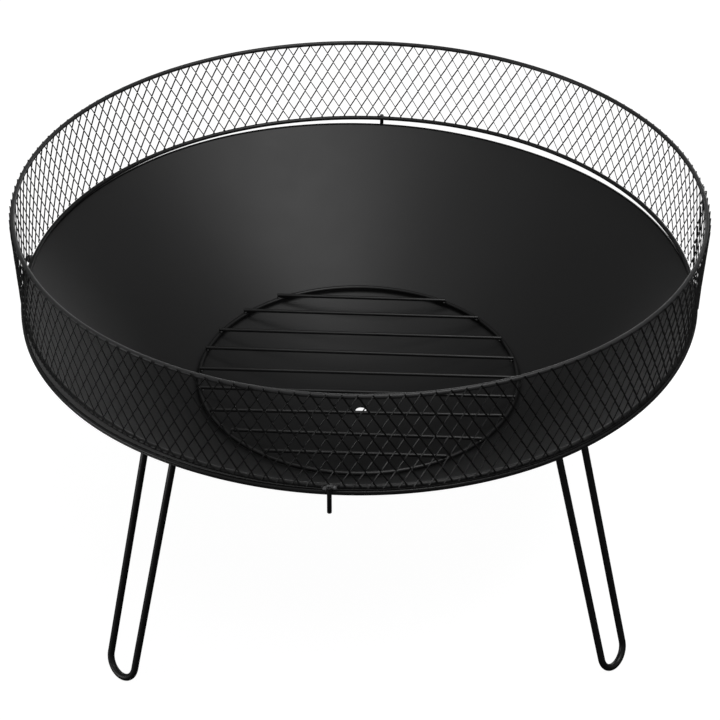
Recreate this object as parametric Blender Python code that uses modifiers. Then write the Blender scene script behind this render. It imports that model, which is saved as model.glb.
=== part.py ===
"""Steel fire pit: a spun bowl on four hairpin legs, a lift-off mesh guard and a lift-out grate.

Units are metres and +Z is up. The origin is on the floor under the bowl's axis.
The front of the pit faces -Y, and +X is to its right.
"""

from math import asin, atan, cos, pi, radians, sin, sqrt

import bmesh
import bpy
from mathutils import Matrix, Vector

# ---- driving dimensions -------------------------------------------------------------------

TOUCH_GAP = 0.0003

# Bowl: one spun sheet with a flat floor, a drain hole and a folded hem at the rim.
BOWL_R = 0.2922
BOWL_FLOOR_R = 0.022
BOWL_FLOOR_Z = 0.1252
WALL_TOP_R = 0.2902
WALL_RISE = 0.1431
WALL_CURVE = 1.67
SHEET = 0.0015
RIM_TOP_Z = 0.2690
HEM_DROP = 0.0035
HEM_ROUND = 0.0006
WALL_POINTS = 10
BOWL_STEPS = 64
DRAIN_R = 0.005
DRAIN_X = 0.0038

# Hairpin legs: round rod, set on the diagonals and turned a little about the bowl's axis.
# Each one is bent by hand, so the feet differ by a few millimetres.
LEG_ROD_R = 0.003
LEG_ANGLES = {"front_left": -132.8, "front_right": -42.1, "back_right": 47.6, "back_left": 137.6}
FOOT_RADII = {"front_left": 0.2970, "front_right": 0.3027, "back_right": 0.2985, "back_left": 0.2985}
FOOT_WIDTH = 0.0303
LEG_TOP_WIDTH = 0.0330
FOOT_BEND_STEPS = 8

# Leg plates: flat steel on the bowl's underside, each held by two blind weld studs.
PLATE_RADIUS = 0.2150
PLATE_WIDTH = 0.056
PLATE_LENGTH = 0.050
PLATE_THICK = 0.003
PLATE_CORNER = 0.006
PLATE_HOLE_R = 0.0035
LEG_HEAD_UP = 0.0198
STUD_OFFSET = 0.014
STUD_R = 0.003
STUD_LENGTH = 0.012
WASHER_R = 0.006
WASHER_THICK = 0.0012
NUT_ACROSS_FLATS = 0.010
NUT_THICK = 0.005
CLEAR_HOLE_R = 0.0033

# Guard: two wire rings with a band of expanded mesh round them, and four locating pins.
# It sits a little off the bowl's axis, with its bottom ring held just clear of the rim.
GUARD_SHIFT = (0.0020, 0.0024)
GUARD_WIRE_R = 0.0020
GUARD_LOW_R = 0.2906
GUARD_TOP_R = 0.2909
GUARD_STANDS = 0.0018
GUARD_HEIGHT = 0.0830
MESH_THICK = 0.0012
MESH_LAP = 0.0010
PIN_R = 0.0018
PIN_TURN = -4.2
PIN_CIRCLE_R = 0.2958
PIN_ABOVE_RING = 0.0020
PIN_CRANK_TOP = 0.0003
PIN_CRANK_FOOT = 0.0034
PIN_BELOW_RING = 0.0213

# Grate: a wire ring with nine bars welded across it by eye: (place across the ring, turn).
GRATE_SHIFT = (0.0014, -0.0010)
GRATE_RING_Z = 0.1673
GRATE_RING_R = 0.1438
GRATE_WIRE_R = 0.0020
BAR_R = 0.0017
BAR_REACH = 0.1440
BAR_SKEW = 0.02
BARS = (
    (0.1183, -2.7),
    (0.0905, -2.7),
    (0.0570, -2.5),
    (0.0260, -2.9),
    (-0.0054, -2.3),
    (-0.0347, -2.4),
    (-0.0651, -1.4),
    (-0.0959, -2.8),
    (-0.1224, -2.3),
)

PIT_BLACK = (0.022, 0.022, 0.023)
BLACK_STEEL = {
    "bowl_black": (PIT_BLACK, 0.55),
    "leg_black": ((0.018, 0.018, 0.019), 0.45),
    "guard_black": ((0.020, 0.020, 0.021), 0.50),
    "grate_black": ((0.024, 0.024, 0.024), 0.48),
}
ZINC = ("zinc", (0.45, 0.45, 0.44), 0.35)


# ---- scene helpers ------------------------------------------------------------------------


def clear_scene():
    for thing in list(bpy.data.objects):
        bpy.data.objects.remove(thing, do_unlink=True)


def new_collection(name):
    group = bpy.data.collections.new(name)
    bpy.context.scene.collection.children.link(group)
    return group


def steel(name, colour, roughness, metallic):
    material = bpy.data.materials.new(name)
    material.use_nodes = True
    shader = material.node_tree.nodes["Principled BSDF"]
    shader.inputs["Base Color"].default_value = (*colour, 1.0)
    shader.inputs["Roughness"].default_value = roughness
    shader.inputs["Metallic"].default_value = metallic
    return material


def black(name):
    """The matt black paint of one group of pieces."""
    if name not in bpy.data.materials:
        colour, roughness = BLACK_STEEL[name]
        steel(name, colour, roughness, 0.0)
    return bpy.data.materials[name]


def zinc():
    name, colour, roughness = ZINC
    if name not in bpy.data.materials:
        steel(name, colour, roughness, 1.0)
    return bpy.data.materials[name]


def add_object(name, data, material, parent=None, place=None):
    thing = bpy.data.objects.new(name, data)
    if material:
        data.materials.append(material)
    part_group.objects.link(thing)
    thing.parent = parent
    if place is not None:
        thing.matrix_local = place
    return thing


def add_empty(name, location):
    thing = bpy.data.objects.new(name, None)
    thing.location = location
    part_group.objects.link(thing)
    return thing


def adopt(thing, name, material, parent):
    """Name a primitive that an operator has made and move it into the part's collection."""
    thing.name = name
    thing.data.name = name
    thing.data.materials.append(material)
    for group in list(thing.users_collection):
        group.objects.unlink(thing)
    part_group.objects.link(thing)
    thing.parent = parent
    return thing


def ring(name, radius, wire_radius, height, steps, material, parent):
    bpy.ops.mesh.primitive_torus_add(
        location=(0, 0, height),
        major_radius=radius,
        minor_radius=wire_radius,
        major_segments=steps,
        minor_segments=8,
    )
    thing = adopt(bpy.context.object, name, material, parent)
    thing.data.shade_smooth()
    return thing


def wire(name, points, radius, material, parent=None, place=None):
    """A round rod along points, with filled ends."""
    path = bpy.data.curves.new(name, "CURVE")
    path.dimensions = "3D"
    path.bevel_depth = radius
    path.bevel_resolution = 2
    path.use_fill_caps = True
    spline = path.splines.new("POLY")
    spline.points.add(len(points) - 1)
    for knot, point in zip(spline.points, points):
        knot.co = (*point, 1.0)
    return add_object(name, path, material, parent, place)


def flat_outline(name, outlines, thickness, material, place):
    """A flat plate: the first outline is its edge and the others are holes in it."""
    shape = bpy.data.curves.new(name, "CURVE")
    shape.dimensions = "2D"
    shape.fill_mode = "BOTH"
    shape.extrude = thickness / 2
    for outline in outlines:
        spline = shape.splines.new("POLY")
        spline.points.add(len(outline) - 1)
        spline.use_cyclic_u = True
        for knot, point in zip(spline.points, outline):
            knot.co = (*point, 0.0, 1.0)
    return add_object(name, shape, material, place=place)


def turned(name, profile, steps, closed, material, parent=None, place=None):
    """Turn a profile of (radius, height) about Z. Its outer side runs from top to bottom."""
    mesh = bpy.data.meshes.new(name)
    form = bmesh.new()
    corners = [form.verts.new((radius, 0.0, height)) for radius, height in profile]
    for first, second in zip(corners, corners[1:]):
        form.edges.new((first, second))
    if closed:
        form.edges.new((corners[-1], corners[0]))
    form.to_mesh(mesh)
    form.free()
    thing = add_object(name, mesh, material, parent, place)
    screw = thing.modifiers.new("turn", "SCREW")
    screw.steps = steps
    screw.render_steps = steps
    screw.use_merge_vertices = True
    screw.merge_threshold = 0.00001
    screw.use_smooth_shade = True
    return thing


def circle(centre, radius, steps, start=0.0):
    x, y = centre
    angles = [start + 2 * pi * step / steps for step in range(steps)]
    return [(x + radius * cos(a), y + radius * sin(a)) for a in angles]


# ---- bowl ---------------------------------------------------------------------------------


def wall_height(radius):
    """Height of the bowl's inner face."""
    reach = max(0.0, radius - BOWL_FLOOR_R) / (WALL_TOP_R - BOWL_FLOOR_R)
    return BOWL_FLOOR_Z + WALL_RISE * reach**WALL_CURVE


def wall_slope(radius):
    """Angle of the bowl's wall above level."""
    run = WALL_TOP_R - BOWL_FLOOR_R
    reach = max(0.0, radius - BOWL_FLOOR_R) / run
    return atan(WALL_RISE * WALL_CURVE * reach ** (WALL_CURVE - 1) / run)


def under_wall(radius):
    """The point on the bowl's outer face opposite the inner face at radius."""
    slope = wall_slope(radius)
    return (radius + SHEET * sin(slope), wall_height(radius) - SHEET * cos(slope))


def make_bowl():
    step = (WALL_TOP_R - BOWL_FLOOR_R) / WALL_POINTS
    radii = [BOWL_FLOOR_R + step * count for count in range(WALL_POINTS + 1)]
    inside = [(0.0, BOWL_FLOOR_Z)] + [(radius, wall_height(radius)) for radius in radii]
    hem_foot = RIM_TOP_Z - HEM_DROP
    hem_meets_wall = WALL_TOP_R - HEM_DROP
    outside_radii = radii[:-1] + [hem_meets_wall]
    outside = [(0.0, BOWL_FLOOR_Z - SHEET)] + [under_wall(radius) for radius in outside_radii]
    hem = [
        (WALL_TOP_R + HEM_ROUND, RIM_TOP_Z),
        (BOWL_R - HEM_ROUND, RIM_TOP_Z),
        (BOWL_R, RIM_TOP_Z - HEM_ROUND),
        (BOWL_R, hem_foot),
        (BOWL_R - HEM_ROUND, hem_foot - HEM_ROUND),
    ]
    profile = inside + hem + outside[::-1]
    bowl = turned("bowl", profile, BOWL_STEPS, False, black("bowl_black"))
    bpy.ops.mesh.primitive_cylinder_add(
        vertices=20,
        radius=DRAIN_R,
        depth=0.02,
        location=(DRAIN_X, 0, BOWL_FLOOR_Z),
    )
    cutter = bpy.context.object
    cutter.name = "drain_cutter"
    for group in list(cutter.users_collection):
        group.objects.unlink(cutter)
    cutter_group.objects.link(cutter)
    cutter.hide_render = True
    cutter.display_type = "WIRE"
    drain = bowl.modifiers.new("drain", "BOOLEAN")
    drain.operation = "DIFFERENCE"
    drain.object = cutter


# ---- legs ---------------------------------------------------------------------------------


def leg_frame(angle):
    """A plate's place: x round the bowl, y up the wall and z out of its outer face."""
    radius, height = under_wall(PLATE_RADIUS)
    slope = wall_slope(PLATE_RADIUS)
    around = Vector((-sin(angle), cos(angle), 0))
    out = Vector((cos(angle), sin(angle), 0))
    up_wall = out * cos(slope) + Vector((0, 0, sin(slope)))
    normal = out * sin(slope) - Vector((0, 0, cos(slope)))
    turn = Matrix((-around, up_wall, normal)).transposed().to_4x4()
    return Matrix.Translation(out * radius + Vector((0, 0, height))) @ turn


def make_leg(side, angle):
    """A rod bent into a long U, its foot on the floor and both ends on the leg's plate."""
    place = leg_frame(angle)
    around = Vector((-sin(angle), cos(angle), 0))
    foot_radius = FOOT_RADII[side]
    foot = Vector((cos(angle) * foot_radius, sin(angle) * foot_radius, LEG_ROD_R))
    rise = place @ Vector((0, LEG_HEAD_UP, 0)) - foot
    lean = rise.normalized()
    face = -place.to_3x3().col[2]
    square = lean.dot(face)
    stand_off = PLATE_THICK + 2 * TOUCH_GAP + LEG_ROD_R * sqrt(1 - square**2)
    length = rise.length - stand_off / square
    bend = FOOT_WIDTH / 2
    points = [foot + lean * length - around * (LEG_TOP_WIDTH / 2)]
    for step in range(FOOT_BEND_STEPS + 1):
        turn = pi * step / FOOT_BEND_STEPS
        points.append(foot + lean * (bend - bend * sin(turn)) - around * (bend * cos(turn)))
    points.append(foot + lean * length + around * (LEG_TOP_WIDTH / 2))
    wire("leg_" + side, points, LEG_ROD_R, black("leg_black"))


def plate_outline():
    half_width = PLATE_WIDTH / 2 - PLATE_CORNER
    half_length = PLATE_LENGTH / 2 - PLATE_CORNER
    corner_steps = 3
    points = []
    for quarter, (x_side, y_side) in enumerate(((1, 1), (-1, 1), (-1, -1), (1, -1))):
        for step in range(corner_steps + 1):
            angle = (quarter + step / corner_steps) * pi / 2
            x = x_side * half_width + PLATE_CORNER * cos(angle)
            y = y_side * half_length + PLATE_CORNER * sin(angle)
            points.append((x, y))
    return points


def make_leg_fixings(side, angle):
    place = leg_frame(angle)
    spots = {"upper": STUD_OFFSET, "lower": -STUD_OFFSET}
    holes = [circle((0, y), PLATE_HOLE_R, 12) for y in spots.values()]
    middle = Matrix.Translation((0, 0, TOUCH_GAP + PLATE_THICK / 2))
    outlines = [plate_outline()] + holes
    flat_outline("leg_plate_" + side, outlines, PLATE_THICK, black("leg_black"), place @ middle)
    washer_z = 2 * TOUCH_GAP + PLATE_THICK
    nut_z = washer_z + WASHER_THICK + TOUCH_GAP
    for level, y in spots.items():
        name = side + "_" + level
        stud_middle = Matrix.Translation((0, y, TOUCH_GAP + STUD_LENGTH / 2))
        stud = bpy.data.meshes.new("stud_" + name)
        form = bmesh.new()
        bmesh.ops.create_cone(
            form, cap_ends=True, segments=12, radius1=STUD_R, radius2=STUD_R, depth=STUD_LENGTH
        )
        form.to_mesh(stud)
        form.free()
        add_object("stud_" + name, stud, zinc(), place=place @ stud_middle)
        flat_ring = [
            (CLEAR_HOLE_R, washer_z + WASHER_THICK),
            (WASHER_R, washer_z + WASHER_THICK),
            (WASHER_R, washer_z),
            (CLEAR_HOLE_R, washer_z),
        ]
        spot = place @ Matrix.Translation((0, y, 0))
        turned("washer_" + name, flat_ring, 16, True, zinc(), place=spot)
        hexagon = circle((0, 0), NUT_ACROSS_FLATS / sqrt(3), 6)
        bore = circle((0, 0), CLEAR_HOLE_R, 12)
        nut_place = spot @ Matrix.Translation((0, 0, nut_z + NUT_THICK / 2))
        flat_outline("nut_" + name, [hexagon, bore], NUT_THICK, zinc(), nut_place)


# ---- guard --------------------------------------------------------------------------------


def make_guard():
    """The guard's parts sit round an empty on the axis that it lifts along."""
    low_z = RIM_TOP_Z + GUARD_STANDS + GUARD_WIRE_R
    guard = add_empty("guard_axis", (*GUARD_SHIFT, low_z))
    paint = black("guard_black")
    ring("guard_bottom_ring", GUARD_LOW_R, GUARD_WIRE_R, 0.0, 72, paint, guard)
    ring("guard_top_ring", GUARD_TOP_R, GUARD_WIRE_R, GUARD_HEIGHT, 72, paint, guard)
    low_inside = GUARD_LOW_R + GUARD_WIRE_R + TOUCH_GAP
    top_inside = GUARD_TOP_R + GUARD_WIRE_R + TOUCH_GAP
    top = GUARD_HEIGHT + MESH_LAP
    band = [
        (top_inside, top),
        (top_inside + MESH_THICK, top),
        (low_inside + MESH_THICK, -MESH_LAP),
        (low_inside, -MESH_LAP),
    ]
    turned("guard_mesh", band, 72, True, paint, guard)
    pin_head = low_inside + MESH_THICK + TOUCH_GAP + PIN_R
    for count, side in enumerate(("right", "back", "left", "front")):
        make_pin(side, radians(PIN_TURN + 90 * count), pin_head, paint, guard)


def make_pin(side, angle, head_radius, paint, guard):
    """A pin beside the bottom ring, cranked outwards where it would foul the bowl's rim."""
    out = Vector((cos(angle), sin(angle), 0))
    head = out * head_radius
    off_axis = (head + Vector((*GUARD_SHIFT, 0))).length
    foot = head + out * max(0.0, PIN_CIRCLE_R - off_axis)
    path = [
        head + Vector((0, 0, PIN_ABOVE_RING)),
        head - Vector((0, 0, PIN_CRANK_TOP)),
        foot - Vector((0, 0, PIN_CRANK_FOOT)),
        foot - Vector((0, 0, PIN_BELOW_RING)),
    ]
    wire("guard_pin_" + side, path, PIN_R, paint, guard)


# ---- grate --------------------------------------------------------------------------------


def make_grate():
    """The grate's parts sit round an empty on the axis that it lifts along."""
    grate = add_empty("grate_axis", (*GRATE_SHIFT, GRATE_RING_Z))
    paint = black("grate_black")
    ring("grate_ring", GRATE_RING_R, GRATE_WIRE_R, 0.0, 56, paint, grate)
    height = GRATE_WIRE_R + TOUCH_GAP + BAR_R
    for count, (place, turn) in enumerate(BARS):
        across = place - GRATE_SHIFT[1]
        half_length = BAR_REACH * cos(asin(across / BAR_REACH))
        along = Vector((cos(radians(turn)), sin(radians(turn)), 0)) * half_length
        middle = Vector((BAR_SKEW * across, across, height))
        name = "grate_bar_" + str(count + 1)
        wire(name, [middle - along, middle + along], BAR_R, paint, grate)


# ---- the whole fire pit -------------------------------------------------------------------

clear_scene()
part_group = new_collection("fire_pit")
cutter_group = new_collection("cutters")
make_bowl()
for side, degrees in LEG_ANGLES.items():
    make_leg(side, radians(degrees))
    make_leg_fixings(side, radians(degrees))
make_guard()
make_grate()
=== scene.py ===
"""Looks of the fire pit: fine meshes and painted-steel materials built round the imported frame.

Units are metres and +Z is up. The bowl's axis is the Z axis and the floor is at z = 0.
The front of the pit faces -Y, and +X is to its right.
"""

from math import asin, atan, atan2, cos, hypot, pi, radians, sin, sqrt

import bmesh
import bpy
import numpy as np
from mathutils import Matrix, Vector


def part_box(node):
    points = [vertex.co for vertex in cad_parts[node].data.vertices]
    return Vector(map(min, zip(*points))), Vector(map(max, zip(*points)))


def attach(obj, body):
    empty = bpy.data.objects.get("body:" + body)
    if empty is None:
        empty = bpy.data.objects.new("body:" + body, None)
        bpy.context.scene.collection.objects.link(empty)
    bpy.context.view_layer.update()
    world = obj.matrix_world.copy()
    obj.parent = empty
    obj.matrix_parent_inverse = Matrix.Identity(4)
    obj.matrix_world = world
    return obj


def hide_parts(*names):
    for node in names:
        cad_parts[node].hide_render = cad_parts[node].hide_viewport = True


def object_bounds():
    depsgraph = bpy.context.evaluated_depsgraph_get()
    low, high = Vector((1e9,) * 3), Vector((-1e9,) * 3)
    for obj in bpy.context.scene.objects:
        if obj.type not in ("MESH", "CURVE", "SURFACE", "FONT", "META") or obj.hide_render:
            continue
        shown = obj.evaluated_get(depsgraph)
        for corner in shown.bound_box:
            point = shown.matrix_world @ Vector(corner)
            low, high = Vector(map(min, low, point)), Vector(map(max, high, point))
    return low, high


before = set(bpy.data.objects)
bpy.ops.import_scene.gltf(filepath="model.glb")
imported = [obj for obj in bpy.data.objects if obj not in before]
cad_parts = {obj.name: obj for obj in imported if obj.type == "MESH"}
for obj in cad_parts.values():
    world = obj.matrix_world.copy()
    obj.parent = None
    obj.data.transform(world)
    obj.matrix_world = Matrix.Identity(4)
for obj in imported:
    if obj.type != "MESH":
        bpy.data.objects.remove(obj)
cad_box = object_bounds()

# ---- camera and driving sizes -------------------------------------------------------------

CAMERA_DISTANCE = 1.2892
CAMERA_HEIGHT = 1.0917
CAMERA_DOWN = 35.22
CAMERA_YAW = 0.12
CAMERA_ROLL = 0.36
CAMERA_LENS = 87.5

BOWL_FLOOR_R = 0.022
WALL_TOP_R = 0.2902
WALL_CURVE = 1.67
SHEET = 0.0015
DRAIN_R = 0.005
DRAIN_X = 0.0038
DRAIN_Y = 0.0008
DRAIN_EDGE = 0.0002
WALL_BELOW_RIM = 0.0007
WALL_STOP = 0.0008
HEM_FOLD = 0.0018
# The hem's last steps in to the fold and its edge below it: (in from the rim, down from the top).
HEM_RUN_IN = ((0.0008, 0.00006), (0.0003, 0.0))
HEM_EDGE = (
    (0.0003, 0.0018),
    (0.00035, 0.0024),
    (0.0001, 0.0029),
    (0.0, 0.0033),
    (0.0003, 0.0038),
    (0.0009, 0.0040),
    (0.0014, 0.0038),
    (0.0017, 0.0034),
)
HEM_COVER = 0.0045

# Bends of the bowl's rim and the guard's hoops: each is (height, degrees, spread in degrees).
BEND_START_R = 0.17
BEND_RUN = 0.12
RIM_DIPS = ((0.0024, 55, 22), (-0.0014, 122, 24), (0.0012, 165, 10))
RIM_BULGES = ((0.0012, 226, 16), (-0.0020, 190, 12), (0.0018, 354, 12))
TOP_HOOP_BENDS = ((-0.0024, 38, 30), (-0.0010, 140, 28))
LOW_HOOP_DROOPS = ((0.0012, 270, 50),)
TOP_HOOP_SMALLER = 0.0006
LOW_HOOP_SMALLER = 0.0004
LOW_HOOP_OVAL = 0.0020
LOW_HOOP_RAISED = 0.0002
TOP_HOOP_LEAN = 0.0029
TOP_LEAN_START = 0.4
TOP_LEAN_RUN = 1.1

LEG_ROD_R = 0.003
FOOT_RADII = {
    "front_left": 0.2970,
    "front_right": 0.3027,
    "back_right": 0.2985,
    "back_left": 0.2985,
}
FOOT_WIDTH = 0.0303
LEG_TOP_WIDTH = 0.0330
LEG_HEAD_UP = 0.0198
LEG_BEADS = 10
LEG_BEAD = (0.0036, 0.0022, 0.0022)
LEG_BEAD_OUT = 0.0004
LEG_BEAD_UP = 0.0010
END_ROUND = 0.0004

PLATE_WIDTH = 0.056
PLATE_LENGTH = 0.050
PLATE_THICK = 0.003
PLATE_CORNER = 0.006
PLATE_EDGE = 0.0005
PLATE_HOLE_R = 0.0035
PLATE_TANGENT_IN = 0.001
WELD_GAP = 0.0006
FACE_GAP = 0.0003
STUD_OFFSET = 0.014
STUD_LENGTH = 0.012
THREAD_R = 0.003
THREAD_PITCH = 0.001
THREAD_DEPTH = 0.00032
THREAD_FADE = 0.0015
STUD_EDGE = 0.0003
STUD_END_EDGE = 0.0004
FIXING_BORE = 0.0033
BORE_EDGE = 0.0005
WASHER_R = 0.006
WASHER_THICK = 0.0012
NUT_ACROSS = 0.010
NUT_THICK = 0.005
NUT_CORNERS = 0.155

PIN_SIDES = ("right", "back", "left", "front")
PIN_TURN = -4.2
PIN_R = 0.0018
PIN_OFF_RING = 0.0018
PIN_BEND_R = 0.0016
PIN_CIRCLE_R = 0.2958
PIN_CRANK_TOP = 0.0003
PIN_CRANK_FOOT = 0.0034
# Each lump of a pin's weld: its shift round the ring, length and thickness.
PIN_WELDS = ((-0.0024, 0.0060, 0.0034), (0.0021, 0.0066, 0.0030), (0.0, 0.0052, 0.0040))
PIN_WELD_IN = 0.0022
PIN_WELD_STEP = 0.0006
PIN_WELD_SLANT = 0.2

MESH_CELLS = 163
MESH_ROWS = 8
MESH_LOW_ROW = 0.00415
MESH_LOW_TILT = 0.00245
MESH_TOP_ROW = 0.00015
MESH_TOP_TILT = 0.00215
SEAM_ANGLE = 0.3
SEAM_CELLS = 1.35
SEAM_LAP = 1.6
STRAND_WIDTH = 0.0012
STRAND_THICK = 0.00055
STRAND_OFF_RING = 0.0003
STRAND_PROFILE = (0.0, 0.08, 0.3, 0.5, 0.7, 0.92)
STRAND_JOINT = 0.02
STRAND_RISING_WIDTH = 0.7
STRAND_LOW_END = 0.0005
STRAND_HIGH_END = 0.0006
STRAND_ROLLS = (-16.0, 56.0)

BAR_BEAD_AT = 0.985
BAR_BEAD = (0.0052, 0.0032, 0.0016)

# Noise scales of the paint's clouds, specks, worn patches, smears and orange peel.
CLOUD_SCALE = 14.0
SPECK_SCALE = 520.0
PATCH_SCALE = 26.0
SMEAR_SCALE = 38.0
PEEL_SCALE = 260.0
BARE_STEEL = (0.075, 0.070, 0.066, 1.0)
CLEAR = (0.0, 0.0, 0.0, 1.0)
# Dark tone, light tone, roughness, its spread, grain scale, grain height, peel height, wear.
PAINTS = {
    "bowl_paint": (0.0095, 0.0105, 0.445, 0.012, 1900.0, 0.00002, 0.00001, 0.2),
    "rim_paint": (0.010, 0.014, 0.26, 0.03, 1900.0, 0.00002, 0.00001, 0.3),
    "rod_paint": (0.006, 0.009, 0.40, 0.05, 1900.0, 0.00003, 0.00004, 0.5),
    # The top hoop's paint is lighter than the rods' black: a painted highlight standing in for the
    # hoop's broad sheen.
    "top_hoop_painted_highlight": (0.022, 0.034, 0.40, 0.05, 1900.0, 0.00003, 0.00004, 0.5),
    "mesh_paint": (0.005, 0.010, 0.33, 0.05, 1900.0, 0.00003, 0.00003, 0.5),
    # The welds' paint is far lighter than the pins' black: a painted highlight standing in for
    # light catching the weld lumps.
    "weld_painted_highlight": (0.045, 0.150, 0.34, 0.08, 900.0, 0.00010, 0.00012, 0.6),
    "grate_paint": (0.006, 0.010, 0.39, 0.05, 1900.0, 0.00003, 0.00004, 0.5),
}

FLOOR_HALF = 6.0
FLOOR_PALE = 0.25
FLOOR_GLOW = 0.95
FLOOR_BOUNCE = 0.06
ROOM_GREY = 0.19
# Each soft light: name, place, aim, size and watts.
LIGHTS = (
    ("overhead", (0.45, -0.22, 2.0), (-0.05, 0.1, 0.2), (0.9, 1.3), 11.2),
    ("front_high", (0.35, -1.3, 2.2), (0, 0, 0.3), (0.9, 0.5), 4.2),
    ("left_back", (-0.7, 0.55, 2.2), (0, 0, 0.2), (0.35, 0.35), 0.8),
    ("backdrop", (0.50, 2.3, 0.5), (0, 0, 0.35), (2.8, 0.7), 11.5),
    ("low_left", (-2.2, -0.7, 0.25), (0, 0, 0.2), (1.6, 0.5), 9.0),
)


# ---- mesh helpers -------------------------------------------------------------------------


class Shape:
    """Vertices and faces of one piece, gathered from several closed forms."""

    def __init__(self):
        self.points = []
        self.faces = []
        self.count = 0

    def add(self, points, faces):
        points = np.asarray(points, float).reshape(-1, 3)
        self.points.append(points)
        self.faces.extend(tuple(corner + self.count for corner in face) for face in faces)
        self.count += len(points)

    def piece(self, name, material, body, slot, replaced=(), sharp=40.0):
        mesh = bpy.data.meshes.new(name)
        mesh.from_pydata(np.concatenate(self.points).tolist(), [], self.faces)
        mesh.validate()
        mesh.shade_smooth()
        mesh.set_sharp_from_angle(angle=radians(sharp))
        mesh.materials.append(material)
        thing = bpy.data.objects.new(name, mesh)
        bpy.context.scene.collection.objects.link(thing)
        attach(thing, body)
        if replaced:
            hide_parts(*replaced)
        return thing


def join_rows(points, closed):
    """Faces between rows of points, with flat ends unless the rows close on themselves."""
    rows, sides = points.shape[:2]
    faces = []
    for row in range(rows if closed else rows - 1):
        here = row * sides
        there = ((row + 1) % rows) * sides
        for side in range(sides):
            after = (side + 1) % sides
            faces.append((here + side, here + after, there + after, there + side))
    if not closed:
        faces.append(tuple(range(sides - 1, -1, -1)))
        faces.append(tuple(range((rows - 1) * sides, rows * sides)))
    return points.reshape(-1, 3), faces


def sweep(centres, first, second, section, closed):
    """Carry a section along centres: first and second are its axes at each centre."""
    centres = np.asarray(centres, float)
    first = np.asarray(first, float)
    second = np.asarray(second, float)
    section = np.asarray(section, float)
    if section.ndim == 2:
        section = np.broadcast_to(section, (len(centres), *section.shape))
    across = section[:, :, :1] * first[:, None, :]
    up = section[:, :, 1:] * second[:, None, :]
    return join_rows(centres[:, None, :] + across + up, closed)


def round_section(radius, sides):
    turn = np.arange(sides) * 2 * pi / sides
    return np.stack([np.cos(turn), np.sin(turn)], axis=1) * radius


def axes_along(path):
    """Two axes square to a path, carried along it without twisting."""
    path = np.asarray(path, float)
    ways = np.gradient(path, axis=0)
    ways /= np.linalg.norm(ways, axis=1)[:, None]
    start = np.array([0.0, 0.0, 1.0])
    if abs(ways[0] @ start) > 0.9:
        start = np.array([1.0, 0.0, 0.0])
    first = []
    for way in ways:
        start = start - way * (start @ way)
        start /= np.linalg.norm(start)
        first.append(start)
    first = np.array(first)
    return first, np.cross(ways, first)


def eased_end(end, before, radius):
    """Centres and radii of a rod's end, eased over by END_ROUND."""
    way = (end - before) / np.linalg.norm(end - before)
    rows = []
    for share in (0.0, 0.3, 0.7, 1.0):
        reach = END_ROUND * sin(share * pi / 2)
        width = radius - END_ROUND * (1 - cos(share * pi / 2))
        rows.append((end + way * (reach - END_ROUND), width))
    return rows


def rod(path, radius, sides):
    """A round rod along a path, with both its ends eased."""
    path = [np.asarray(point, float) for point in path]
    start = eased_end(path[0], path[1], radius)
    finish = eased_end(path[-1], path[-2], radius)
    whole = start[::-1] + [(point, radius) for point in path[1:-1]] + finish
    centres = np.array([point for point, width in whole])
    widths = np.array([width for point, width in whole])
    first, second = axes_along(centres)
    section = round_section(1.0, sides)[None, :, :] * widths[:, None, None]
    return sweep(centres, first, second, section, False)


def hoop(centre, radius, wire_radius, steps, sides, bend=None, drop=None):
    """A wire ring lying level round centre, bent out of round and out of level at each angle."""
    turn = np.arange(steps) * 2 * pi / steps
    out = np.stack([np.cos(turn), np.sin(turn), np.zeros(steps)], axis=1)
    up = np.broadcast_to(np.array([0.0, 0.0, 1.0]), out.shape)
    reach = radius + (bend(turn) if bend else 0.0 * turn)
    centres = np.asarray(centre, float) + out * reach[:, None]
    if drop:
        centres[:, 2] -= drop(turn)
    return sweep(centres, out, up, round_section(wire_radius, sides)[:, ::-1], True)


def lump(centre, along, length, width, height, seed):
    """A weld bead: an uneven rounded ridge lying along a direction."""
    random = np.random.default_rng(seed)
    along = np.asarray(along, float) / np.linalg.norm(along)
    side = np.cross(along, [0.0, 0.0, 1.0])
    if np.linalg.norm(side) < 0.1:
        side = np.cross(along, [1.0, 0.0, 0.0])
    side /= np.linalg.norm(side)
    up = np.cross(side, along)
    rows = 11
    sides = 12
    row_unevenness = 0.12
    skin_unevenness = 0.05
    places = np.linspace(-1.0, 1.0, rows)
    girth = np.sqrt(np.clip(1.0 - places**4, 0.02, 1.0))
    girth = girth * (1 + row_unevenness * random.normal(size=rows))
    centres = np.asarray(centre, float) + along * (places * length / 2)[:, None]
    section = round_section(1.0, sides)[None, :, :] * girth[:, None, None]
    section = section * np.array([width / 2, height / 2])
    section = section * (1 + skin_unevenness * random.normal(size=(rows, sides, 1)))
    spread = np.ones((rows, 1))
    return sweep(centres, spread * side, spread * up, section, False)


# ---- materials ----------------------------------------------------------------------------


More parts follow.
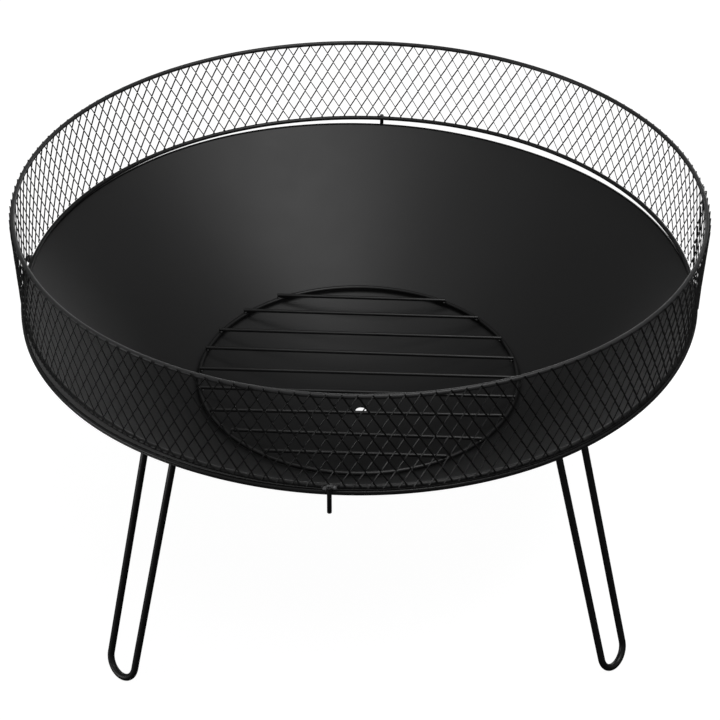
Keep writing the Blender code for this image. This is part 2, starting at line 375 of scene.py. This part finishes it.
def paint(name, dark, light, rough, spread, grain, grain_height, peel_height, worn):
    """Paint on steel, black, or lighter where a highlight is painted into it: cloudy tone, uneven
    gloss, fine grain, orange peel and thin spots.
    """
    material = bpy.data.materials.new(name)
    material.use_nodes = True
    nodes = material.node_tree.nodes
    links = material.node_tree.links
    shader = nodes["Principled BSDF"]
    place = nodes.new("ShaderNodeTexCoord")

    def noise(scale, detail, roughness):
        node = nodes.new("ShaderNodeTexNoise")
        node.inputs["Scale"].default_value = scale
        node.inputs["Detail"].default_value = detail
        node.inputs["Roughness"].default_value = roughness
        links.new(place.outputs["Object"], node.inputs["Vector"])
        return node

    def ramp(source, low, high, low_colour, high_colour):
        node = nodes.new("ShaderNodeValToRGB")
        node.color_ramp.elements[0].position = low
        node.color_ramp.elements[0].color = low_colour
        node.color_ramp.elements[1].position = high
        node.color_ramp.elements[1].color = high_colour
        links.new(source, node.inputs["Fac"])
        return node

    def grey(value):
        return (value, value, value * 1.02, 1.0)

    cloud = noise(CLOUD_SCALE, 5.0, 0.55)
    tone = ramp(cloud.outputs["Fac"], 0.3, 0.7, grey(dark), grey(light))
    specks = noise(SPECK_SCALE, 3.0, 0.6)
    thin = ramp(specks.outputs["Fac"], 0.66, 0.76, CLEAR, (1, 1, 1, 1))
    patches = noise(PATCH_SCALE, 4.0, 0.6)
    where = ramp(patches.outputs["Fac"], 0.56, 0.72, CLEAR, (worn, worn, worn, 1))
    both = nodes.new("ShaderNodeMath")
    both.operation = "MULTIPLY"
    links.new(thin.outputs["Color"], both.inputs[0])
    links.new(where.outputs["Color"], both.inputs[1])
    wear = nodes.new("ShaderNodeMix")
    wear.data_type = "RGBA"
    links.new(both.outputs[0], wear.inputs["Factor"])
    links.new(tone.outputs["Color"], wear.inputs["A"])
    wear.inputs["B"].default_value = BARE_STEEL
    links.new(wear.outputs["Result"], shader.inputs["Base Color"])

    smear = noise(SMEAR_SCALE, 6.0, 0.6)
    gloss = nodes.new("ShaderNodeMapRange")
    gloss.inputs["From Min"].default_value = 0.3
    gloss.inputs["From Max"].default_value = 0.7
    gloss.inputs["To Min"].default_value = rough - spread
    gloss.inputs["To Max"].default_value = rough + spread
    links.new(smear.outputs["Fac"], gloss.inputs["Value"])
    links.new(gloss.outputs["Result"], shader.inputs["Roughness"])

    fine = noise(grain, 3.0, 0.7)
    grain_bump = nodes.new("ShaderNodeBump")
    grain_bump.inputs["Strength"].default_value = 0.6
    grain_bump.inputs["Distance"].default_value = grain_height
    links.new(fine.outputs["Fac"], grain_bump.inputs["Height"])
    peel = noise(PEEL_SCALE, 2.0, 0.5)
    peel_bump = nodes.new("ShaderNodeBump")
    peel_bump.inputs["Strength"].default_value = 0.5
    peel_bump.inputs["Distance"].default_value = peel_height
    links.new(peel.outputs["Fac"], peel_bump.inputs["Height"])
    links.new(grain_bump.outputs["Normal"], peel_bump.inputs["Normal"])
    links.new(peel_bump.outputs["Normal"], shader.inputs["Normal"])
    shader.inputs["Metallic"].default_value = 0.0
    shader.inputs["IOR"].default_value = 1.5
    return material


def zinc_plate():
    """Zinc plating: grey metal with faint cloudy spangle and fine scratches."""
    material = bpy.data.materials.new("zinc_plate")
    material.use_nodes = True
    nodes = material.node_tree.nodes
    links = material.node_tree.links
    shader = nodes["Principled BSDF"]
    place = nodes.new("ShaderNodeTexCoord")
    cloud = nodes.new("ShaderNodeTexNoise")
    cloud.inputs["Scale"].default_value = 420.0
    cloud.inputs["Detail"].default_value = 4.0
    links.new(place.outputs["Object"], cloud.inputs["Vector"])
    tone = nodes.new("ShaderNodeValToRGB")
    tone.color_ramp.elements[0].color = (0.30, 0.30, 0.29, 1.0)
    tone.color_ramp.elements[1].color = (0.55, 0.55, 0.54, 1.0)
    links.new(cloud.outputs["Fac"], tone.inputs["Fac"])
    links.new(tone.outputs["Color"], shader.inputs["Base Color"])
    gloss = nodes.new("ShaderNodeMapRange")
    gloss.inputs["To Min"].default_value = 0.28
    gloss.inputs["To Max"].default_value = 0.5
    links.new(cloud.outputs["Fac"], gloss.inputs["Value"])
    links.new(gloss.outputs["Result"], shader.inputs["Roughness"])
    scratch = nodes.new("ShaderNodeTexNoise")
    scratch.inputs["Scale"].default_value = 2400.0
    links.new(place.outputs["Object"], scratch.inputs["Vector"])
    bump = nodes.new("ShaderNodeBump")
    bump.inputs["Strength"].default_value = 0.3
    bump.inputs["Distance"].default_value = 0.00003
    links.new(scratch.outputs["Fac"], bump.inputs["Height"])
    links.new(bump.outputs["Normal"], shader.inputs["Normal"])
    shader.inputs["Metallic"].default_value = 1.0
    return material


# ---- bowl ---------------------------------------------------------------------------------

bowl_low, bowl_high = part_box("bowl")
BOWL_R = (bowl_high.x - bowl_low.x) / 2
RIM_TOP_Z = bowl_high.z
BOWL_FLOOR_Z = bowl_low.z + SHEET
WALL_RISE = RIM_TOP_Z - WALL_BELOW_RIM - BOWL_FLOOR_Z


def wall_height(radius):
    reach = max(0.0, radius - BOWL_FLOOR_R) / (WALL_TOP_R - BOWL_FLOOR_R)
    return BOWL_FLOOR_Z + WALL_RISE * reach**WALL_CURVE


def wall_slope(radius):
    run = WALL_TOP_R - BOWL_FLOOR_R
    reach = max(0.0, radius - BOWL_FLOOR_R) / run
    return atan(WALL_RISE * WALL_CURVE * reach ** (WALL_CURVE - 1) / run)


def under_wall(radius):
    slope = wall_slope(radius)
    return (radius + SHEET * sin(slope), wall_height(radius) - SHEET * cos(slope))


def swell(turn, degrees, spread):
    """A smooth hump of height 1 round the axis at an angle, wide by spread."""
    away = (turn - radians(degrees) + pi) % (2 * pi) - pi
    return np.exp(-((away / radians(spread)) ** 2))


def swells(turn, humps):
    return sum(height * swell(turn, degrees, spread) for height, degrees, spread in humps)


def near_rim(radius):
    """1 at the rim, fading to 0 well down the wall."""
    return np.clip((radius - BEND_START_R) / BEND_RUN, 0.0, 1.0) ** 2


def rim_sag(turn, radius):
    """How far the sheet's rim dips below true at an angle: it was never quite flat."""
    return near_rim(radius) * swells(turn, RIM_DIPS)


def rim_bulge(turn, radius):
    """How far the sheet's rim swells out of round at an angle."""
    return near_rim(radius) * swells(turn, RIM_BULGES)


def guard_oval(turn, share):
    """How far the guard's hoops are bent out of round: the low one most, share is the height."""
    low = -LOW_HOOP_SMALLER - LOW_HOOP_OVAL * np.cos(2 * turn)
    high = -TOP_HOOP_SMALLER + swells(turn, TOP_HOOP_BENDS)
    return (1 - share) * low + share * high


def guard_droop(turn, share):
    """How far the hoops hang below true: the top one leans down over the whole near side."""
    low = swells(turn, LOW_HOOP_DROOPS) - LOW_HOOP_RAISED
    lean = np.clip((TOP_LEAN_START - np.sin(turn)) / TOP_LEAN_RUN, 0.0, 1.0)
    high = TOP_HOOP_LEAN * lean**2 * (3 - 2 * lean)
    return (1 - share) * low + share * high


def bowl_profile():
    """Inside from the floor to the rim, over the folded hem and back underneath."""
    steps = 46
    run = WALL_TOP_R - WALL_STOP - BOWL_FLOOR_R
    radii = [BOWL_FLOOR_R + run * (step / steps) for step in range(steps + 1)]
    inside = [(radius, wall_height(radius)) for radius in radii]
    fold_x = BOWL_R - HEM_FOLD
    hem = [(fold_x - inward, RIM_TOP_Z - down) for inward, down in HEM_RUN_IN]
    fold_steps = 5
    for step in range(1, fold_steps + 1):
        turn = pi / 2 * (1 - step / fold_steps)
        x = fold_x + HEM_FOLD * cos(turn)
        hem.append((x, RIM_TOP_Z - HEM_FOLD + HEM_FOLD * sin(turn)))
    hem += [(BOWL_R - inward, RIM_TOP_Z - down) for inward, down in HEM_EDGE]
    outside = [under_wall(radius) for radius in radii if radius < BOWL_R - HEM_COVER]
    return inside, hem, outside[::-1]


def make_bowl(material, rim_material):
    """The bowl's sheet in rings from the drain's edge out to the rim and back underneath.

    A ring is (share of the drain's offset, radius, height).
    """
    steps = 288
    floor_steps = 4
    turn = np.arange(steps) * 2 * pi / steps
    inside, hem, outside = bowl_profile()
    rings = [
        (1.0, DRAIN_R, BOWL_FLOOR_Z - SHEET),
        (1.0, DRAIN_R, BOWL_FLOOR_Z - DRAIN_EDGE),
        (1.0, DRAIN_R + DRAIN_EDGE, BOWL_FLOOR_Z),
    ]
    shares = [step / floor_steps for step in range(1, floor_steps)]
    flat = [(1 - share, DRAIN_R + (BOWL_FLOOR_R - DRAIN_R) * share) for share in shares]
    rings += [(off_axis, radius, BOWL_FLOOR_Z) for off_axis, radius in flat]
    first_hem = len(rings) + len(inside)
    rings += [(0.0, radius, height) for radius, height in inside + hem + outside]
    rings += [(off_axis, radius, BOWL_FLOOR_Z - SHEET) for off_axis, radius in flat[::-1]]
    points = []
    for off_axis, radius, height in rings:
        reach = radius + rim_bulge(turn, radius)
        x = DRAIN_X * off_axis + reach * np.cos(turn)
        y = DRAIN_Y * off_axis + reach * np.sin(turn)
        points.append(np.stack([x, y, height - rim_sag(turn, radius)], axis=1))
    bowl = Shape()
    bowl.add(*join_rows(np.array(points), True))
    thing = bowl.piece("fire_bowl", material, "pit", "bowl", ("bowl",), sharp=35.0)
    thing.data.materials.append(rim_material)
    for face in thing.data.polygons:
        if first_hem - 1 <= face.index // steps < first_hem + len(hem):
            face.material_index = 1


# ---- legs and fixings ---------------------------------------------------------------------


def leg_frame(side):
    """A plate's place: x round the bowl, y up the wall and z out of its outer face."""
    low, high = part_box("leg_plate_" + side)
    middle = (low + high) / 2
    angle = atan2(middle.y, middle.x)
    slope = wall_slope(hypot(middle.x, middle.y) - PLATE_TANGENT_IN)
    around = Vector((-sin(angle), cos(angle), 0))
    out = Vector((cos(angle), sin(angle), 0))
    up_wall = out * cos(slope) + Vector((0, 0, sin(slope)))
    normal = out * sin(slope) - Vector((0, 0, cos(slope)))
    turn = Matrix((-around, up_wall, normal)).transposed().to_4x4()
    return Matrix.Translation(middle) @ turn, around, out


def make_leg(side, material):
    place, around, out = leg_frame(side)
    up_wall = place.to_3x3().col[1]
    normal = place.to_3x3().col[2]
    foot = out * FOOT_RADII[side] + Vector((0, 0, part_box("leg_" + side)[0].z + LEG_ROD_R))
    rise = place @ Vector((0, LEG_HEAD_UP, PLATE_THICK / 2)) - foot
    lean = rise.normalized()
    square = -lean.dot(normal)
    stand_off = WELD_GAP + LEG_ROD_R * sqrt(1 - square**2)
    length = rise.length - stand_off / square
    bend = FOOT_WIDTH / 2
    head = foot + lean * length
    path = [head - around * (LEG_TOP_WIDTH / 2)]
    low_left = foot + lean * bend - around * bend
    for step in range(1, 5):
        path.append(path[0].lerp(low_left, step / 5))
    bend_steps = 28
    for step in range(bend_steps + 1):
        turn = pi * step / bend_steps
        path.append(foot + lean * (bend - bend * sin(turn)) - around * (bend * cos(turn)))
    low_right = foot + lean * bend + around * bend
    right_head = head + around * (LEG_TOP_WIDTH / 2)
    for step in range(1, 6):
        path.append(low_right.lerp(right_head, step / 5))
    leg = Shape()
    leg.add(*rod(path, LEG_ROD_R, 24))
    for count, end in enumerate((path[0], path[-1])):
        for spot in range(LEG_BEADS):
            turn = 2 * pi * spot / LEG_BEADS
            ring_way = around * cos(turn) + up_wall * sin(turn)
            centre = end + ring_way * (LEG_ROD_R + LEG_BEAD_OUT) - normal * LEG_BEAD_UP
            way = up_wall * cos(turn) - around * sin(turn)
            leg.add(*lump(centre, way, *LEG_BEAD, 31 * count + spot))
    leg.piece("hairpin_leg_" + side, material, "pit", "legs", ("leg_" + side,), sharp=50.0)


def flat_plate(name, outlines, place, material, replaced):
    """A flat piece with eased edges: the first outline is its edge, the others are holes."""
    shape = bpy.data.curves.new(name, "CURVE")
    shape.dimensions = "2D"
    shape.fill_mode = "BOTH"
    shape.extrude = PLATE_THICK / 2 - PLATE_EDGE
    shape.bevel_depth = PLATE_EDGE
    shape.bevel_resolution = 2
    shape.offset = -PLATE_EDGE
    for outline in outlines:
        spline = shape.splines.new("POLY")
        spline.points.add(len(outline) - 1)
        spline.use_cyclic_u = True
        for knot, point in zip(spline.points, outline):
            knot.co = (*point, 0.0, 1.0)
    drawn = bpy.data.objects.new(name + "_outline", shape)
    bpy.context.scene.collection.objects.link(drawn)
    bpy.context.view_layer.update()
    finished = drawn.evaluated_get(bpy.context.evaluated_depsgraph_get())
    filled = bpy.data.meshes.new_from_object(finished)
    bpy.data.objects.remove(drawn, do_unlink=True)
    form = bmesh.new()
    form.from_mesh(filled)
    bmesh.ops.remove_doubles(form, verts=form.verts, dist=0.00001)
    form.verts.ensure_lookup_table()
    piece = Shape()
    points = [place @ corner.co for corner in form.verts]
    piece.add(points, [[corner.index for corner in face.verts] for face in form.faces])
    form.free()
    piece.piece(name, material, "pit", "legs", replaced, sharp=40.0)


def circle(y, radius, steps):
    angles = [2 * pi * step / steps for step in range(steps)]
    return [(radius * cos(angle), y + radius * sin(angle)) for angle in angles]


def plate_outline():
    """A rectangle with round corners."""
    corner_steps = 8
    points = []
    for quarter, (x_side, y_side) in enumerate(((1, 1), (-1, 1), (-1, -1), (1, -1))):
        for step in range(corner_steps + 1):
            angle = (quarter + step / corner_steps) * pi / 2
            x = x_side * (PLATE_WIDTH / 2 - PLATE_CORNER) + PLATE_CORNER * cos(angle)
            y = y_side * (PLATE_LENGTH / 2 - PLATE_CORNER) + PLATE_CORNER * sin(angle)
            points.append((x, y))
    return points


def round_about(place, rows, sides):
    """Closed rows of points round a local z axis: a row is (height, radius at an angle)."""
    turn = np.arange(sides) * 2 * pi / sides
    turned = np.array(place.to_3x3())
    points = []
    for height, radius in rows:
        reach = radius(turn) if callable(radius) else np.full(sides, radius)
        level = np.full(sides, height)
        local = np.stack([reach * np.cos(turn), reach * np.sin(turn), level], axis=1)
        points.append(local @ turned.T + np.array(place.translation))
    return np.array(points)


def make_stud(name, place, material):
    """A threaded M6 stud: one helical thread between two eased ends."""
    core = THREAD_R - THREAD_DEPTH
    length = STUD_LENGTH
    steps = int(length / THREAD_PITCH * 6)
    rows = [(0.0, core - STUD_EDGE)]
    for step in range(1, steps):
        height = length * step / steps
        start = height / THREAD_PITCH
        fade = min(1.0, (length - height) / THREAD_FADE)

        def radius(turn, start=start, fade=fade):
            climb = (start - turn / (2 * pi)) % 1.0
            return core + THREAD_DEPTH * fade * (1 - np.abs(2 * climb - 1))

        rows.append((height, radius))
    rows.append((length, core - STUD_END_EDGE))
    stud = Shape()
    stud.add(*join_rows(round_about(place, rows, 24), False))
    stud.piece("threaded_" + name, material, "pit", "fixings", (name,), 60.0)


def make_nut(name, place, material):
    """A hexagon nut with both faces chamfered to a cone."""
    apothem = NUT_ACROSS / 2
    thick = NUT_THICK
    bore = FIXING_BORE

    def six(turn):
        return apothem / np.cos((turn + pi / 6) % (pi / 3) - pi / 6)

    def chamfered(share):
        """The six sides, cut back by a cone that passes this share of their corners."""
        return lambda turn: np.minimum(six(turn), apothem * (1.0 + NUT_CORNERS * share))

    rows = [
        (BORE_EDGE, bore),
        (0.0, bore + BORE_EDGE),
        (0.0, chamfered(-0.15)),
        (thick * 0.09, chamfered(0.55)),
        (thick * 0.18, chamfered(1.0)),
        (thick * 0.82, chamfered(1.0)),
        (thick * 0.91, chamfered(0.55)),
        (thick, chamfered(-0.15)),
        (thick, bore + BORE_EDGE),
        (thick - BORE_EDGE, bore),
    ]
    nut = Shape()
    nut.add(*join_rows(round_about(place, rows, 72), True))
    nut.piece("hex_" + name, material, "pit", "fixings", (name,), 25.0)


def make_washer(name, place, material):
    """A stamped washer: one edge rounded by the punch and the other sharp."""
    rows = [
        (0.0, FIXING_BORE + 0.0001),
        (0.0, WASHER_R - 0.0004),
        (0.0002, WASHER_R - 0.0001),
        (0.0004, WASHER_R),
        (WASHER_THICK, WASHER_R),
        (WASHER_THICK, FIXING_BORE),
        (0.0002, FIXING_BORE),
    ]
    washer = Shape()
    washer.add(*join_rows(round_about(place, rows, 40), True))
    washer.piece("flat_" + name, material, "pit", "fixings", (name,), 35.0)


def make_fixings(side, paint_material, zinc_material):
    """A leg's plate and, on each of its two studs, a washer and a nut."""
    place = leg_frame(side)[0]
    levels = (("upper", STUD_OFFSET), ("lower", -STUD_OFFSET))
    outlines = [plate_outline()] + [circle(y, PLATE_HOLE_R, 32) for level, y in levels]
    flat_plate("plate_" + side, outlines, place, paint_material, ("leg_plate_" + side,))
    washer_up = PLATE_THICK / 2 + FACE_GAP
    nut_up = washer_up + WASHER_THICK + FACE_GAP
    for level, y in levels:
        name = side + "_" + level
        spots = [
            place @ Matrix.Translation((0, y, up)) for up in (-PLATE_THICK / 2, washer_up, nut_up)
        ]
        make_stud("stud_" + name, spots[0], zinc_material)
        make_washer("washer_" + name, spots[1], zinc_material)
        make_nut("nut_" + name, spots[2], zinc_material)


# ---- guard --------------------------------------------------------------------------------


def guard_place():
    low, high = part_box("guard_bottom_ring")
    return (low + high) / 2


def make_hoop(node, name, material, body, steps, share=None):
    """A wire ring: share is its place up the guard, or None for a true circle.
    """
    low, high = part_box(node)
    wire = (high.z - low.z) / 2
    radius = (high.x - low.x) / 2 - wire
    bend = None
    drop = None
    if share is not None:

        def bend(turn):
            return guard_oval(turn, share)

        def drop(turn):
            return guard_droop(turn, share)

    ring = Shape()
    ring.add(*hoop((low + high) / 2, radius, wire, steps, 14, bend, drop))
    ring.piece(name, material, body, body, (node,))


def strand(turns, heights, low_z, high_z, low_r, high_r, centre, lift):
    """One flat strand of the expanded sheet, following heights round the guard."""
    share = (heights - low_z) / (high_z - low_z)
    radius = low_r + (high_r - low_r) * share + lift + guard_oval(turns, share)
    out = np.stack([np.cos(turns), np.sin(turns), np.zeros(len(turns))], axis=1)
    centres = out * radius[:, None]
    centres[:, 0] += centre.x
    centres[:, 1] += centre.y
    centres[:, 2] = heights - guard_droop(turns, share)
    ways = np.gradient(centres, axis=0)
    ways /= np.linalg.norm(ways, axis=1)[:, None]
    flat = np.cross(ways, out)
    flat /= np.linalg.norm(flat, axis=1)[:, None]
    flip = np.where(flat[:, 2:] < 0, -1.0, 1.0)
    flat = flat * flip
    face = np.cross(flat, ways) * flip
    rising = (ways[:, 2] * np.gradient(turns) > 0)[:, None]
    roll = np.where(rising, radians(STRAND_ROLLS[1]), radians(STRAND_ROLLS[0]))
    width_way = flat * np.cos(roll) - face * np.sin(roll)
    thick_way = face * np.cos(roll) + flat * np.sin(roll)
    half_w = STRAND_WIDTH / 2
    half_t = STRAND_THICK / 2
    corners = [(-half_w, -half_t), (half_w, -half_t), (half_w, half_t), (-half_w, half_t)]
    narrow = np.where(rising, STRAND_RISING_WIDTH, 1.0)
    scale = np.concatenate([narrow, np.ones_like(narrow)], axis=1)
    sections = np.array(corners) * scale[:, None, :]
    return sweep(centres, width_way, thick_way, sections, False)


def make_mesh(material):
    """Expanded steel: zigzag strands cut from one sheet, joined where their peaks meet.

    The strip goes once round the rings and laps over itself at the seam on the right. It has
    an even number of rows, so the joints along both of its edges lie at the same angles.
    """
    centre = guard_place()
    low_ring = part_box("guard_bottom_ring")
    top_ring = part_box("guard_top_ring")
    low_z = (low_ring[0].z + low_ring[1].z) / 2
    top_z = (top_ring[0].z + top_ring[1].z) / 2
    gap = STRAND_THICK / 2 + STRAND_OFF_RING
    low_r = (low_ring[1].x - low_ring[0].x) / 2 + gap
    top_r = (top_ring[1].x - top_ring[0].x) / 2 + gap

    def row_ends(turn):
        """Heights of the lowest and highest joints: the strip leans a little inside its hoops."""
        low = low_z + MESH_LOW_ROW - MESH_LOW_TILT * np.sin(turn)
        high = top_z + MESH_TOP_ROW - MESH_TOP_TILT * np.sin(turn)
        return low, high

    pitch = 2 * pi / MESH_CELLS
    turns = []
    climbs = []
    for half in range(int(2 * (MESH_CELLS + SEAM_CELLS))):
        for place in STRAND_PROFILE:
            turns.append(radians(SEAM_ANGLE) + (half + place) * pitch / 2)
            climbs.append(place if half % 2 == 0 else 1.0 - place)
    turns = np.array(turns)
    climbs = np.array(climbs)
    lap = np.clip((turns - radians(SEAM_ANGLE) - 2 * pi + pitch / 2) / (pitch / 2), 0.0, 1.0)
    lift = lap * STRAND_THICK * SEAM_LAP
    low_row, high_row = row_ends(turns)
    net = Shape()
    for row in range(MESH_ROWS):
        climb = climbs if row % 2 == 0 else 1.0 - climbs
        level = (row + STRAND_JOINT + (1 - 2 * STRAND_JOINT) * climb) / MESH_ROWS
        heights = low_row + (high_row - low_row) * level
        net.add(*strand(turns, heights, low_z, top_z, low_r, top_r, centre, lift))
    cell_count = int(MESH_CELLS + SEAM_CELLS)
    for row in (0, MESH_ROWS):
        for cell in range(cell_count):
            node_turn = radians(SEAM_ANGLE) + cell * pitch
            low_end, high_end = row_ends(node_turn)
            half_cell = (high_end - low_end) / MESH_ROWS
            level = high_end if row else low_end
            reach = low_z + STRAND_LOW_END - low_end
            if row:
                reach = max(top_z - high_end, 0.0) + STRAND_HIGH_END
            spot = min(cell * 2 * len(STRAND_PROFILE), len(lap) - 1)
            for lean in (-1, 1):
                steps = np.linspace(0.0, 1.0, 4)
                around = node_turn + lean * steps * abs(reach) / half_cell * pitch / 2
                heights = level + reach * steps
                net.add(*strand(around, heights, low_z, top_z, low_r, top_r, centre, lift[spot]))
    net.piece("expanded_mesh", material, "guard", "mesh", ("guard_mesh",), sharp=30.0)


def rounded(corners, radius, steps):
    """A path through corners, each inner corner eased over by radius."""
    corners = [Vector(corner) for corner in corners]
    path = [corners[0]]
    for before, corner, after in zip(corners, corners[1:], corners[2:]):
        start = corner + (before - corner).normalized() * min(radius, (before - corner).length / 2)
        end = corner + (after - corner).normalized() * min(radius, (after - corner).length / 2)
        for step in range(steps + 1):
            share = step / steps
            path.append(start.lerp(corner, share).lerp(corner.lerp(end, share), share))
    path.append(corners[-1])
    return path


def make_pins(material, weld_highlight_material):
    """Cranked pins: each one starts beside the bottom ring and hangs clear outside the rim."""
    centre = guard_place()
    ring_low, ring_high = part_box("guard_bottom_ring")
    ring_r = (ring_high.x - ring_low.x) / 2
    for count, side in enumerate(PIN_SIDES):
        node = "guard_pin_" + side
        low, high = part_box(node)
        angle = radians(PIN_TURN + 90 * count)
        out = Vector((cos(angle), sin(angle), 0))
        bent = float(guard_oval(np.array(angle), 0.0))
        head = centre + out * (ring_r + bent + PIN_OFF_RING + PIN_R)
        for axis in (0, 1):
            head[axis] = max(head[axis], cad_box[0][axis] + PIN_R)
            head[axis] = min(head[axis], cad_box[1][axis] - PIN_R)
        off_axis = hypot(head.x, head.y)
        foot = head + out * max(0.0, PIN_CIRCLE_R - off_axis)
        corners = [
            Vector((head.x, head.y, high.z)),
            head - Vector((0, 0, PIN_CRANK_TOP)),
            foot - Vector((0, 0, PIN_CRANK_FOOT)),
            Vector((foot.x, foot.y, low.z)),
        ]
        pin = Shape()
        pin.add(*rod(rounded(corners, PIN_BEND_R, 5), PIN_R, 20))
        around = Vector((-out.y, out.x, 0))
        bead = Shape()
        for spot, (shift, length, size) in enumerate(PIN_WELDS):
            weld = head - out * PIN_WELD_IN + around * shift
            weld += Vector((0, 0, PIN_WELD_STEP * (spot - 1)))
            way = around + out * PIN_WELD_SLANT * (spot - 1)
            bead.add(*lump(weld, way, length, size, size, 7 + 5 * count + spot))
        pin.piece(node.replace("guard", "locating"), material, "guard", "guard", (node,), 50.0)
        # The weld lumps take the lighter paint: their highlight is painted into their colour.
        bead.piece("pin_weld_" + side, weld_highlight_material, "guard", "guard", (), 50.0)


# ---- grate --------------------------------------------------------------------------------


def make_bars(material):
    """Straight wires across the grate, each with a bead under it where it meets the ring."""
    for count in range(1, 10):
        node = "grate_bar_" + str(count)
        low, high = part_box(node)
        middle = (low + high) / 2
        radius = (high.z - low.z) / 2
        length = high.x - low.x
        turn = -asin((high.y - low.y - 2 * radius) / length)
        along = Vector((cos(turn), sin(turn), 0)) * (length / 2)
        bar = Shape()
        path = [middle + along * share for share in (-1, -0.5, 0, 0.5, 1)]
        bar.add(*rod(path, radius, 18))
        for end in (-1, 1):
            spot = middle + along * (end * BAR_BEAD_AT) - Vector((0, 0, radius))
            way = Vector((-along.y, along.x, 0))
            bar.add(*lump(spot, way, *BAR_BEAD, 90 + 2 * count + end))
        bar.piece("grate_wire_" + str(count), material, "grate", "grate", (node,), 50.0)


# ---- stage --------------------------------------------------------------------------------


def make_camera():
    camera = bpy.data.objects.new("camera", bpy.data.cameras.new("camera"))
    bpy.context.scene.collection.objects.link(camera)
    camera.data.lens = CAMERA_LENS
    camera.data.sensor_width = 36.0
    camera.data.clip_start = 0.05
    tilt = Matrix.Rotation(radians(90 - CAMERA_DOWN), 4, "X")
    yaw = Matrix.Rotation(-radians(CAMERA_YAW), 4, "Z")
    roll = Matrix.Rotation(radians(CAMERA_ROLL), 4, "Z")
    place = Matrix.Translation((0, -CAMERA_DISTANCE, CAMERA_HEIGHT))
    camera.matrix_world = place @ yaw @ tilt @ roll
    bpy.context.scene.camera = camera


def area_light(name, place, target, size, watts):
    data = bpy.data.lights.new(name, "AREA")
    data.shape = "RECTANGLE"
    data.size = size[0]
    data.size_y = size[1]
    data.energy = watts
    light = bpy.data.objects.new(name, data)
    bpy.context.scene.collection.objects.link(light)
    light.location = place
    light.visible_camera = False
    aim = Vector(target) - Vector(place)
    light.rotation_euler = aim.to_track_quat("-Z", "Y").to_euler()


def plain_grey(value):
    return (value, value, value, 1.0)


def make_floor():
    """Pale paper: it shows bright, and throws little light back up at the pit."""
    mesh = bpy.data.meshes.new("studio_floor")
    half = FLOOR_HALF
    corners = [(-half, -half, 0), (half, -half, 0), (half, half, 0), (-half, half, 0)]
    mesh.from_pydata(corners, [], [(0, 1, 2, 3)])
    floor = bpy.data.objects.new("studio_floor", mesh)
    bpy.context.scene.collection.objects.link(floor)
    material = bpy.data.materials.new("studio_paper")
    material.use_nodes = True
    nodes = material.node_tree.nodes
    links = material.node_tree.links
    nodes.clear()
    seen = nodes.new("ShaderNodeBsdfDiffuse")
    seen.inputs["Color"].default_value = plain_grey(FLOOR_PALE)
    glow = nodes.new("ShaderNodeEmission")
    glow.inputs["Strength"].default_value = FLOOR_GLOW
    both = nodes.new("ShaderNodeAddShader")
    links.new(seen.outputs[0], both.inputs[0])
    links.new(glow.outputs[0], both.inputs[1])
    dim = nodes.new("ShaderNodeBsdfDiffuse")
    dim.inputs["Color"].default_value = plain_grey(FLOOR_BOUNCE)
    ray = nodes.new("ShaderNodeLightPath")
    mix = nodes.new("ShaderNodeMixShader")
    links.new(ray.outputs["Is Camera Ray"], mix.inputs["Fac"])
    links.new(dim.outputs[0], mix.inputs[1])
    links.new(both.outputs[0], mix.inputs[2])
    out = nodes.new("ShaderNodeOutputMaterial")
    links.new(mix.outputs[0], out.inputs["Surface"])
    mesh.materials.append(material)


def make_world():
    """A white room to look at, which lights the pit as a soft grey one."""
    world = bpy.data.worlds.new("studio")
    bpy.context.scene.world = world
    world.use_nodes = True
    nodes = world.node_tree.nodes
    links = world.node_tree.links
    back = nodes["Background"]
    back.inputs["Color"].default_value = plain_grey(ROOM_GREY)
    pale = nodes.new("ShaderNodeBackground")
    pale.inputs["Color"].default_value = plain_grey(1.0)
    ray = nodes.new("ShaderNodeLightPath")
    mix = nodes.new("ShaderNodeMixShader")
    links.new(ray.outputs["Is Camera Ray"], mix.inputs["Fac"])
    links.new(back.outputs[0], mix.inputs[1])
    links.new(pale.outputs[0], mix.inputs[2])
    links.new(mix.outputs[0], nodes["World Output"].inputs["Surface"])


make_camera()
bpy.context.scene.view_settings.view_transform = "Standard"
make_world()
make_floor()
for light in LIGHTS:
    area_light(*light)

paints = {name: paint(name, *look) for name, look in PAINTS.items()}
zinc = zinc_plate()

make_bowl(paints["bowl_paint"], paints["rim_paint"])
for side in FOOT_RADII:
    make_leg(side, paints["rod_paint"])
    make_fixings(side, paints["rod_paint"], zinc)
make_hoop("guard_bottom_ring", "guard_low_hoop", paints["rod_paint"], "guard", 288, 0.0)
# The top hoop takes the lighter paint: its highlight is painted into its colour.
make_hoop("guard_top_ring", "guard_top_hoop", paints["top_hoop_painted_highlight"], "guard", 288, 1.0)
make_mesh(paints["mesh_paint"])
make_pins(paints["rod_paint"], paints["weld_painted_highlight"])
make_hoop("grate_ring", "grate_hoop", paints["grate_paint"], "grate", 192)
make_bars(paints["grate_paint"])
